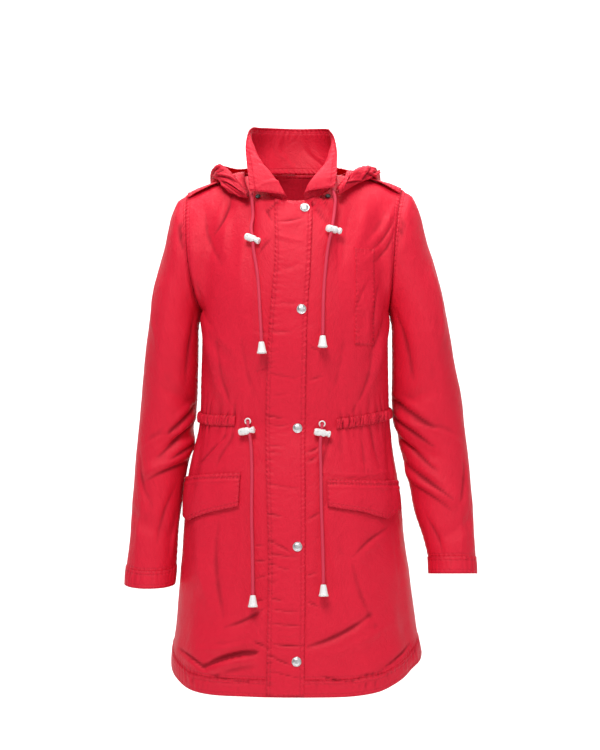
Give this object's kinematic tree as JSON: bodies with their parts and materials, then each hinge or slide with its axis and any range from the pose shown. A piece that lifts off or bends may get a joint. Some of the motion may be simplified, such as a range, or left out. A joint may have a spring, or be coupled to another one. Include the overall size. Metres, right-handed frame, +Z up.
{
  "type": "raincoat",
  "caption": "Red hooded raincoat in worn form: storm flap with snaps, drawcord waist, turned-back collar, hood thrown back, long sleeves, curved hem.",
  "frame": {"origin": "centre of the neck opening at the height of the side neck, where the wearer holds the coat", "axes": "+Z up, the front faces -Y, +X is the viewer's right as seen from the front"},
  "size_m": [0.565, 0.339, 0.9062],
  "materials": {
    "shell_cloth": "satin",
    "cord": "matte",
    "white_plastic": "gloss",
    "snap_metal": "polished"
  },
  "bodies": {
    "root": {"back_lower": "shell_cloth", "back_upper": "shell_cloth", "chest_welt": "shell_cloth", "collar": "shell_cloth", "cuff_left": "shell_cloth", "cuff_right": "shell_cloth", "epaulette_left": "shell_cloth", "epaulette_right": "shell_cloth", "flap_left": "shell_cloth", "flap_right": "shell_cloth", "front_left": "shell_cloth", "front_right": "shell_cloth", "hem_back": "shell_cloth", "hem_front_left": "shell_cloth", "hem_front_right": "shell_cloth", "hood": "shell_cloth", "hood_cord_left": "cord", "hood_cord_left_bell": "white_plastic", "hood_cord_left_lock": "white_plastic", "hood_cord_right": "cord", "hood_cord_right_bell": "white_plastic", "hood_cord_right_lock": "white_plastic", "placket": "shell_cloth", "sleeve_left": "shell_cloth", "sleeve_right": "shell_cloth", "snap_1": "snap_metal", "snap_2": "snap_metal", "snap_3": "snap_metal", "snap_4": "snap_metal", "snap_5": "snap_metal", "waist_casing_back": "shell_cloth", "waist_casing_left": "shell_cloth", "waist_casing_right": "shell_cloth", "waist_cord_left": "cord", "waist_cord_left_bell": "white_plastic", "waist_cord_left_lock": "white_plastic", "waist_cord_right": "cord", "waist_cord_right_bell": "white_plastic", "waist_cord_right_lock": "white_plastic", "waist_eyelet_left": "white_plastic", "waist_eyelet_right": "white_plastic"}
  },
  "joints": []
}
